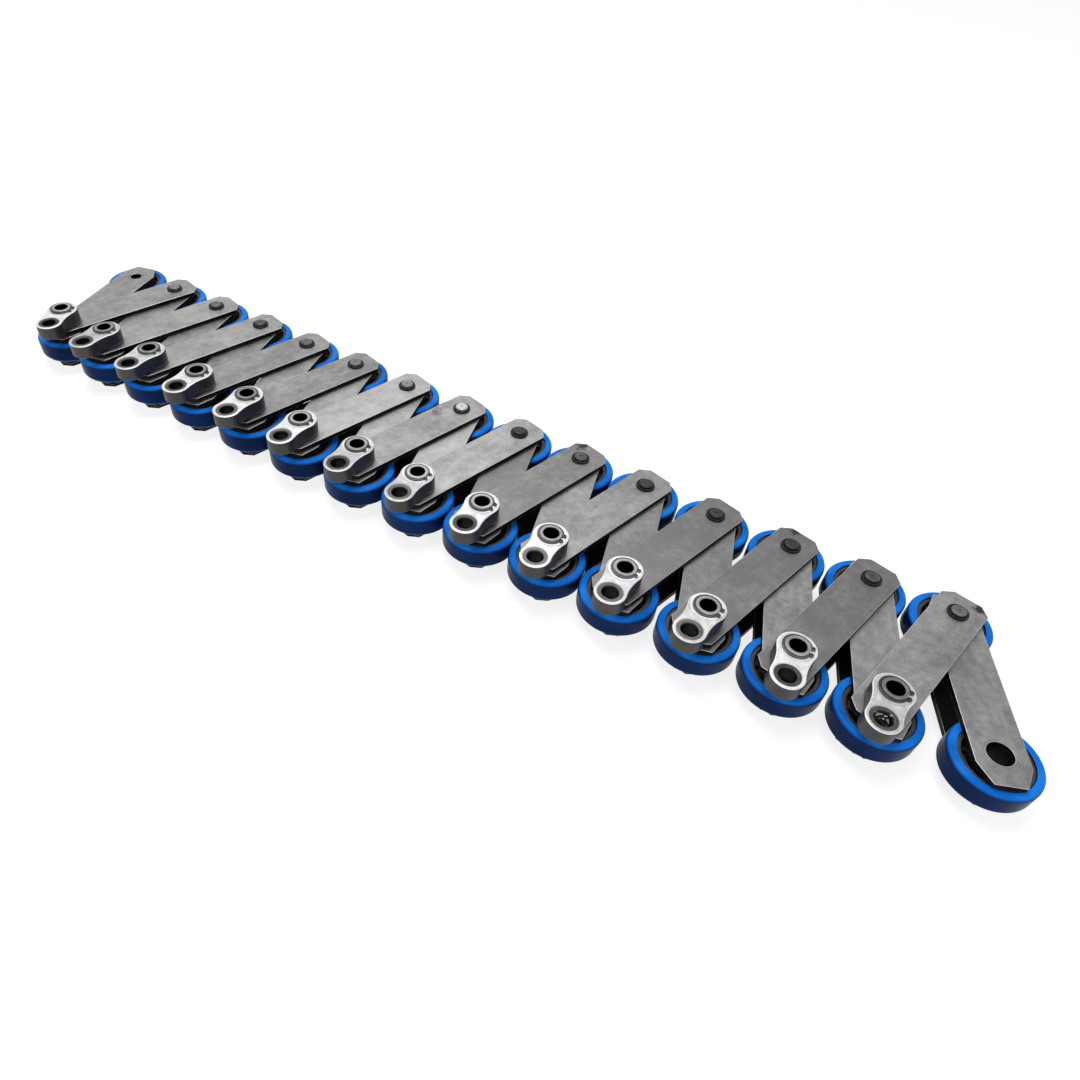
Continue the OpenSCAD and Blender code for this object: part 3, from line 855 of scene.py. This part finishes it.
def bracket_steel():
    """Bright ground faces, rounded rims with a painted highlight, polished flanks painted dark as shade,
    brown and blue tints.
    """
    f = Finish("bracket_steel")
    x, y, z = f.own_place()
    tone, edge = f.own("tone"), f.own("edge")
    shown = f.own("outward").step(0.45, 0.8)
    cloud = f.noise(f.place(), 55.0, 4.0, 0.6)
    mottle = f.noise(f.place(), 210.0, 3.0, 0.6)
    grind = f.noise(f.join(x * 0.25, y * 2.2, tone * 80.0), 1.0, 3.0, 0.6)
    upright = f.noise(f.join(x * 0.11, y * 0.11, z * 0.03 + tone * 30.0), 1.0, 2.0, 0.5)
    light = grind * 0.3 + cloud * 0.4 + mottle * 0.4 + (tone - 0.5) * 0.6
    face = f.mix(light.step(0.3, 0.85), grey(0.38), grey(0.86))
    tint = f.mix(upright.step(0.4, 0.6), (0.050, 0.041, 0.030, 1), (0.034, 0.041, 0.056, 1))
    # Painted shade: the flanks get a dark colour in place of the lit top face's
    flank = f.mix(cloud.step(0.35, 0.7) * 0.5, tint, grey(0.075))
    colour = f.mix(shown, flank, face)
    # Painted highlight along the rounded rims
    colour = f.mix(edge.step(0.2, 0.9) * 0.7, colour, grey(0.95))
    rough = 0.34 + cloud * 0.14 + shown * 0.04
    metal = 0.6 - shown * 0.2
    return f.feed(base_color=colour, roughness=rough, metallic=metal, normal=f.bump(grind, 0.06))


def blue_tyre():
    """Cast polyurethane: azure faces, tread painted navy as shade, clouding partly painted reflection, fine
    dust, rub marks.
    """
    f = Finish("blue_tyre", specular_ior_level=0.05)
    x, y, z = f.own_place()
    shown = f.own("outward").step(0.1, 0.95)
    cloud = f.noise(f.place(), 30.0, 3.0, 0.5).step(0.3, 0.7)
    dust = f.noise(f.place(), 420.0, 3.0, 0.6).step(0.62, 0.75)
    rub = f.noise(f.join(x * 0.09, y * 0.09, z * 0.6), 1.0, 4.0, 0.6).step(0.55, 0.75)
    # The faces' clouding from darker to lighter azure is partly painted reflection
    face = f.mix(cloud, (0.002, 0.105, 0.46, 1), (0.010, 0.190, 0.72, 1))
    # Painted shade: the tread is navy, far darker than the faces
    tread = f.mix(cloud, (0.0004, 0.010, 0.055, 1), (0.001, 0.020, 0.10, 1))
    base = f.mix(shown, tread, face)
    colour = f.mix(dust * 0.06 + rub * 0.05, base, (0.10, 0.20, 0.40, 1))
    rough = 0.26 + cloud * 0.06 + rub * 0.14 + dust * 0.1
    grain = f.noise(f.place(), 1500.0, 2.0, 0.5)
    return f.feed(base_color=colour, roughness=rough, normal=f.bump(grain, 0.04))


def black_hub():
    """Glass-filled nylon moulding: black, with a fine grain, and the rim beside the tyre painted grey-brown
    as light on it.
    """
    f = Finish("black_hub", specular_ior_level=0.3)
    x, y, _ = f.own_place()
    rim_r = TYRE_BORE_R - HUB_RIM
    rim = plan_length(x, y).step(rim_r - 0.1, rim_r + 0.4)
    cloud = f.noise(f.place(), 70.0, 4.0, 0.6).step(0.4, 0.8)
    grain = f.noise(f.place(), 1400.0, 2.0, 0.5)
    black = f.mix(cloud, (0.004, 0.004, 0.005, 1), (0.014, 0.013, 0.012, 1))
    # Painted light: the rim beside the tyre is grey-brown, lighter than the black recesses
    lit_rim = f.mix(cloud, (0.040, 0.037, 0.034, 1), (0.075, 0.070, 0.064, 1))
    colour = f.mix(rim, black, lit_rim)
    rough = 0.40 + cloud * 0.15
    return f.feed(base_color=colour, roughness=rough, normal=f.bump(grain, 0.15))


def seal_rubber():
    """Black seal rubber with a dull, slightly dusty face."""
    f = Finish("seal_rubber", specular_ior_level=0.3)
    cloud = f.noise(f.place(), 120.0, 3.0, 0.6)
    colour = f.mix(cloud, (0.006, 0.006, 0.007, 1), (0.022, 0.021, 0.020, 1))
    return f.feed(base_color=colour, roughness=0.5 + cloud * 0.2)


plate_finish = rolled_steel()
bush_finish = turned_steel("bush_steel", grey(0.20), grey(0.42), 0.30)
pin_finish = turned_steel("pin_steel", grey(0.05, 0.05), grey(0.30, 0.03), 0.34)
bright_pin_finish = turned_steel("bright_pin_steel", grey(0.55), grey(0.85), 0.30)
keeper_finish = turned_steel("keeper_steel", grey(0.010), grey(0.05), 0.34)
hollow_finish = turned_steel("hollow_pin_steel", grey(0.20, 0.01), grey(0.55), 0.26)
washer_finish = turned_steel("washer_steel", grey(0.60), grey(0.85), 0.30)
sleeve_finish = turned_steel("sleeve_steel", grey(0.05, 0.02), grey(0.18), 0.30)
# This sleeve's bore gets painted glints
glinting_sleeve_finish = turned_steel("glinting_sleeve_steel", grey(0.05, 0.02), grey(0.18), 0.30, glint=0.7)
clip_finish = turned_steel("clip_steel", grey(0.05), grey(0.16), 0.28)
bracket_finish = bracket_steel()
tyre_finish = blue_tyre()
hub_finish = black_hub()
ring_finish = turned_steel("bearing_steel", grey(0.16), grey(0.40), 0.22)
seal_finish = seal_rubber()


# The chain, set down where the frame says

def plan_mm(row):
    """Where a joint or mount of the frame lies in plan, in millimetres."""
    return np.array(row["pos_m"][:2]) / MM


joint_at = {joint["name"]: plan_mm(joint) for joint in frame["joints"]}
mount_at = {mount["name"]: plan_mm(mount) for mount in frame["record"]["mounts"]}


def heading_of(start, end):
    """Direction from start to end in plan, in degrees."""
    way = end - start
    return math.degrees(math.atan2(way[1], way[0]))


# The ranges that tones are drawn from
PLATE_TONES = (0.42, 0.68)
PIN_TONES = (0.1, 0.4)
TURNED_TONES = (0.3, 0.7)

# What sets some links apart, by their number: back pins, darker plates, a sleeve with painted glints and oily
# stains
BRIGHT_PIN = 7
LIGHTER_PINS = {1: 0.7, 2: 0.55, 3: 0.4, 4: 0.5, 5: 0.6, 6: 0.75, 14: 0.6}
DARKER = {**dict.fromkeys(range(3, 6), 0.15), **dict.fromkeys(range(9, 14), 0.3)}
GLINTING_SLEEVE = 14
STAINS = {7: (23, -11, 0.5), 9: (-16.5, -12, 1.0), 12: (-20, -8.5, 0.9), 14: (-18, 11, 1.0)}


def plate_tone(i):
    """A drawn tone for the plates of a link, lower on the darker links."""
    return rng.uniform(*PLATE_TONES) - DARKER.get(i, 0)


def add_roller(place, at, bush_r):
    """Tyre, hub, bearing rings and seals at one drawn turn. The place is the roller's row and number."""
    body = f"roller_{place}"
    turn = rng.uniform(0, 360)
    make_piece(f"tyre_{place}", [tyre()], at, turn, body, tyre_finish, stands_for=body)
    make_piece(f"hub_{place}", [hub()], at, turn, body, hub_finish)
    make_piece(f"bearing_{place}", bearing_rings(bush_r), at, turn, body, ring_finish)
    make_piece(f"seals_{place}", [bearing_seals(bush_r)], at, turn, body, seal_finish)


def add_inner_link(i):
    """Two plates and two bushes, and the rollers on the bushes."""
    body = f"inner_link_{i:02d}"
    back, front = joint_at[f"spin_back_{i:02d}"], joint_at[f"spin_front_{i:02d}"]
    heading = heading_of(back, front)
    holes = BACK_BUSH_R + SEAT_GAP, FRONT_BUSH_R + SEAT_GAP
    plates = [link_plate(z, INNER_REACHES, INNER_CHAMFER, *holes) for z in (INNER_LOW_Z, INNER_HIGH_Z)]
    make_piece(
        f"inner_plates_{i:02d}", plates, back, heading, body, plate_finish, plate_tone(i),
        stands_for=body)
    bushes = [bush(BACK_PIN_R, BACK_BUSH_WALL), bush(FRONT_PIN_R, FRONT_BUSH_WALL, axis=(PITCH, 0))]
    tone = rng.uniform(*TURNED_TONES)
    make_piece(f"bushes_{i:02d}", bushes, back, heading, body, bush_finish, tone)
    add_roller(f"back_{i:02d}", back, BACK_BUSH_R)
    add_roller(f"front_{i:02d}", front, FRONT_BUSH_R)


def add_outer_link(i):
    """Two plates, the back pin with its retaining ring, and the hollow pin with all that it carries."""
    body = f"outer_link_{i:02d}"
    front, back = joint_at[f"spin_front_{i:02d}"], joint_at[f"spin_back_{i + 1:02d}"]
    heading = heading_of(back, front)
    holes = BACK_PIN_R + SEAT_GAP, FRONT_PIN_R + SEAT_GAP
    plates = [link_plate(z, OUTER_REACHES, OUTER_CHAMFER, *holes) for z in (OUTER_LOW_Z, OUTER_HIGH_Z)]
    make_piece(
        f"outer_plates_{i:02d}", plates, back, heading, body, plate_finish, plate_tone(i),
        STAINS.get(i, NO_STAIN), stands_for=body)
    # Drawn for every pin, so that the later draws don't depend on which pins are lighter
    tone = LIGHTER_PINS.get(i, rng.uniform(*PIN_TONES))
    finish = bright_pin_finish if i == BRIGHT_PIN else pin_finish
    make_piece(f"back_pin_{i:02d}", [back_pin()], back, heading, body, finish, tone)
    make_piece(f"keeper_{i:02d}", [keeper()], back, heading, body, keeper_finish)
    swing = heading_of(front, mount_at[f"bracket_sleeve_{i:02d}"])
    for name, shells, finish in (
        ("hollow_pin", [hollow_pin()], hollow_finish),
        ("bracket", bracket_block(), bracket_finish),
        ("washer", [washer()], washer_finish),
        ("circlip", circlip(), clip_finish),
        ("sleeve", [sleeve()], glinting_sleeve_finish if i == GLINTING_SLEEVE else sleeve_finish),
    ):
        tone = rng.uniform(*TURNED_TONES)
        make_piece(f"{name}_{i:02d}", shells, front, swing, body, finish, tone)


for link in range(1, INNER_COUNT + 1):
    add_inner_link(link)
for link in range(1, INNER_COUNT):
    add_outer_link(link)


# The stage

# Half the floor's width in metres, shades and strengths, and the heights between which the sky turns grey
FLOOR_HALF = 30.0
FLOOR_WHITE = 0.86
FLOOR_GLOW = 1.22
SHADOW_KEPT = 0.35
OVERHEAD = 0.5
AMBIENT = 0.5
GREYING = (0.3, 0.95)


def white_ray(wires):
    """1 for rays from the camera, off shining surfaces and through clear ones, else 0."""
    outputs = wires.node("ShaderNodeLightPath").socket.node.outputs
    camera, glossy, clear = (
        Wire(wires.tree, outputs[name]) for name in ("Is Camera Ray", "Is Glossy Ray", "Is Transmission Ray"))
    return camera.math("MAXIMUM", camera.math("MAXIMUM", camera, glossy), clear)


def add_floor():
    """A wide pale floor that looks white and keeps part of the chain's shadow."""
    corners = [(-1, -1, 0), (1, -1, 0), (1, 1, 0), (-1, 1, 0)]
    mesh = bpy.data.meshes.new("floor")
    mesh.from_pydata((np.array(corners) * FLOOR_HALF).tolist(), [], [(0, 1, 2, 3)])
    floor = bpy.data.objects.new("floor", mesh)
    bpy.context.scene.collection.objects.link(floor)
    material = bpy.data.materials.new("pale_floor")
    material.use_nodes = True
    tree = material.node_tree
    tree.nodes.remove(tree.nodes["Principled BSDF"])
    wires = Wire(tree)
    matt = wires.node("ShaderNodeBsdfDiffuse", inputs={"Color": grey(FLOOR_WHITE)})
    white = wires.node("ShaderNodeEmission", inputs={"Color": grey(1.0), "Strength": FLOOR_GLOW})
    share = white_ray(wires) * (1 - SHADOW_KEPT)
    both = wires.node("ShaderNodeMixShader", inputs={0: share, 1: matt, 2: white})
    tree.links.new(both.socket, tree.nodes["Material Output"].inputs["Surface"])
    mesh.materials.append(material)


def add_world():
    """A studio that is white at the horizon and greyer overhead, and gives soft light from all round."""
    world = bpy.data.worlds.new("studio")
    bpy.context.scene.world = world
    world.use_nodes = True
    tree = world.node_tree
    wires = Wire(tree)
    _, _, height = wires.split(wires.node("ShaderNodeTexCoord"))
    seen = wires.mix(height.step(*GREYING), grey(1.0), grey(OVERHEAD))
    colour = wires.mix(white_ray(wires), grey(AMBIENT), seen)
    tree.links.new(colour.socket, tree.nodes["Background"].inputs["Color"])


def add_lamp(name, place, target, size, power):
    """A square soft box at a place, turned to a target, in metres and watts."""
    lamp = bpy.data.lights.new(name, "AREA")
    lamp.shape = "SQUARE"
    lamp.size = size
    lamp.energy = power
    box = bpy.data.objects.new(name, lamp)
    box.location = place
    box.rotation_euler = (Vector(target) - Vector(place)).to_track_quat("-Z", "Y").to_euler()
    bpy.context.scene.collection.objects.link(box)


# The camera of the photograph: its place and aim, its roll, and image sizes in pixels of the square frame
FRAME_PX = 1080
FOCAL_PX = 783.6
MIDDLE_PX = (488.0, 568.9)
EYE = (340.3, -517.4, 530.9)
AIM = (117.6, -114.1, 45.0)
ROLL = 4.42
SENSOR = 36.0


def add_camera():
    """The camera at the photograph's place, aimed along the chain and rolled a little."""
    lens = bpy.data.cameras.new("camera")
    lens.sensor_fit = "HORIZONTAL"
    lens.sensor_width = SENSOR
    lens.lens = FOCAL_PX / FRAME_PX * SENSOR
    lens.shift_x = 0.5 - MIDDLE_PX[0] / FRAME_PX
    lens.shift_y = MIDDLE_PX[1] / FRAME_PX - 0.5
    lens.clip_start = 0.01
    camera = bpy.data.objects.new("camera", lens)
    eye, aim = Vector(EYE) * MM, Vector(AIM) * MM
    turn = (aim - eye).to_track_quat("-Z", "Y").to_matrix() @ Matrix.Rotation(math.radians(ROLL), 3, "Z")
    camera.matrix_world = Matrix.Translation(eye) @ turn.to_4x4()
    bpy.context.scene.collection.objects.link(camera)
    bpy.context.scene.camera = camera


add_floor()
add_world()
add_lamp("key", place=(-0.5, 0.4, 2.3), target=(0, 0, 0), size=1.6, power=44)
add_lamp("fill", place=(1.4, -1.3, 1.6), target=(0.2, 0, 0), size=1.4, power=8)
add_camera()
bpy.context.scene.view_settings.view_transform = "Standard"
